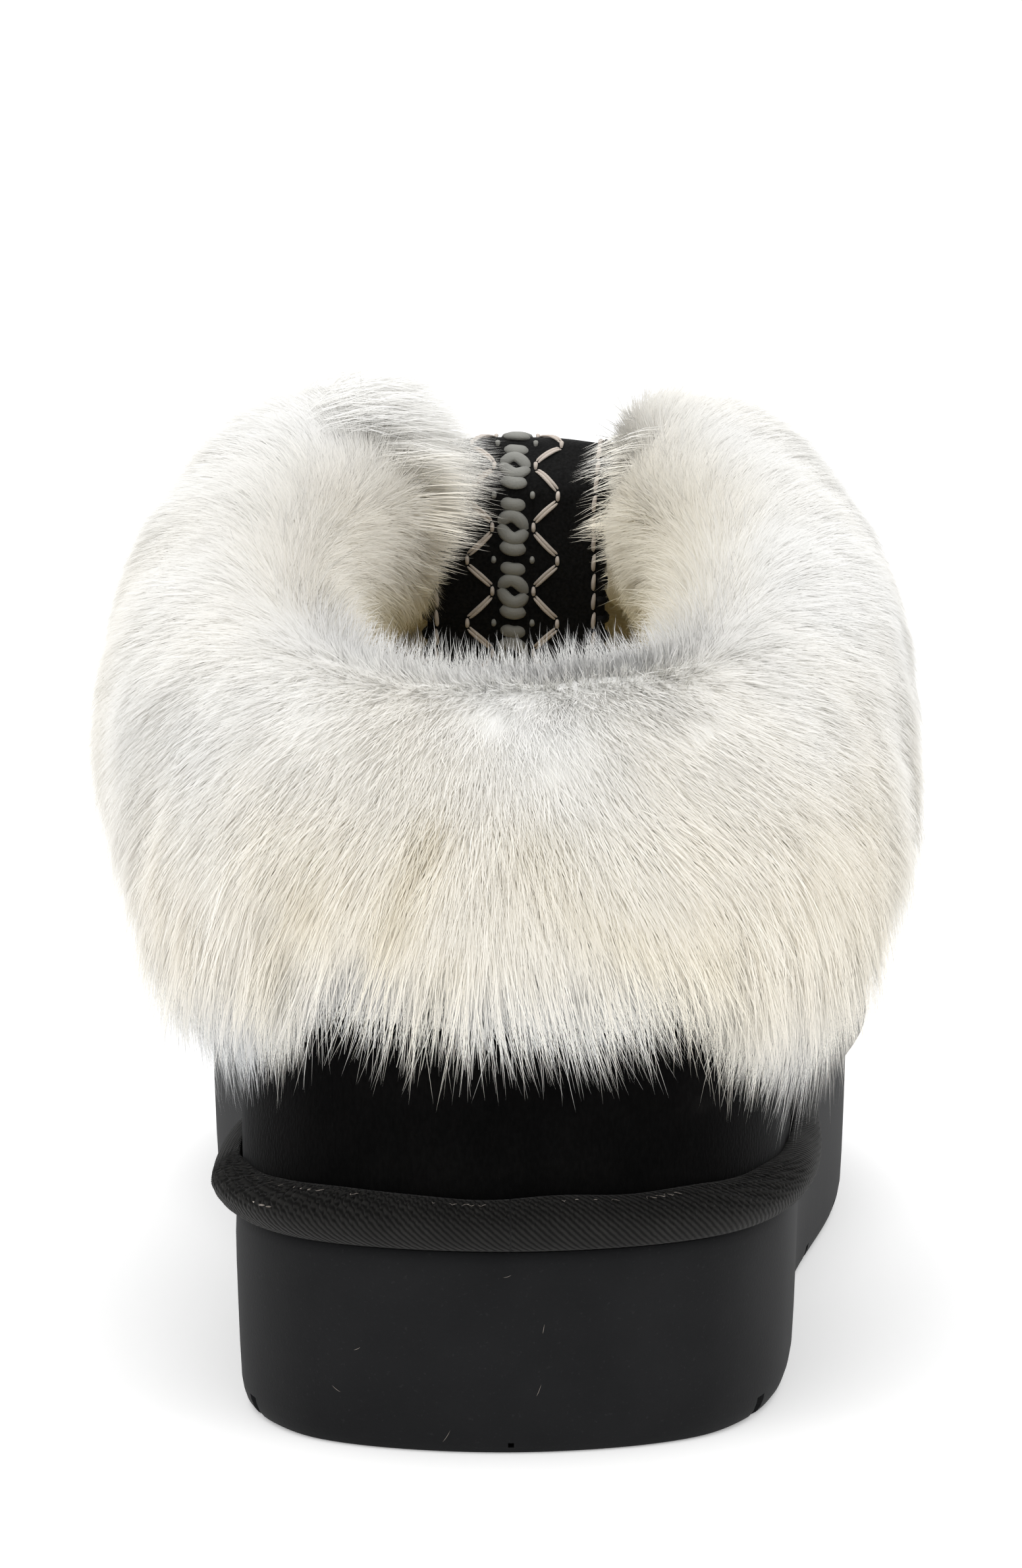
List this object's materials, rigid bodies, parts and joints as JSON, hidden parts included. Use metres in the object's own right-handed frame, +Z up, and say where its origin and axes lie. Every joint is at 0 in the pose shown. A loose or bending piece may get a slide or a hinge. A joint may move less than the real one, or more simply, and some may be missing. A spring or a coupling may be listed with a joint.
{
  "type": "faux fur lined slipper",
  "caption": "Closed-back platform slipper with a suede-like upper, a deep fur collar hooked over its edge, a bound sole rim and a woven instep strap.",
  "frame": {"origin": "middle of the outsole's length on its centre line, on the flat floor face", "axes": "+Z up from the floor, +Y from heel to toe, +X to the outer (little toe) side"},
  "size_m": [0.1225, 0.2756, 0.1375],
  "materials": {
    "outsole": "matte foamed rubber",
    "binding": "ribbed twill tape",
    "upper": "suede nap",
    "insole": "short fleece pile",
    "fur": "long soft pile",
    "strap": "embroidered webbing"
  },
  "bodies": {
    "root": {"outsole": "outsole", "binding": "binding", "upper": "upper", "insole": "insole", "fur_collar": "fur", "instep_strap": "strap"}
  },
  "joints": []
}
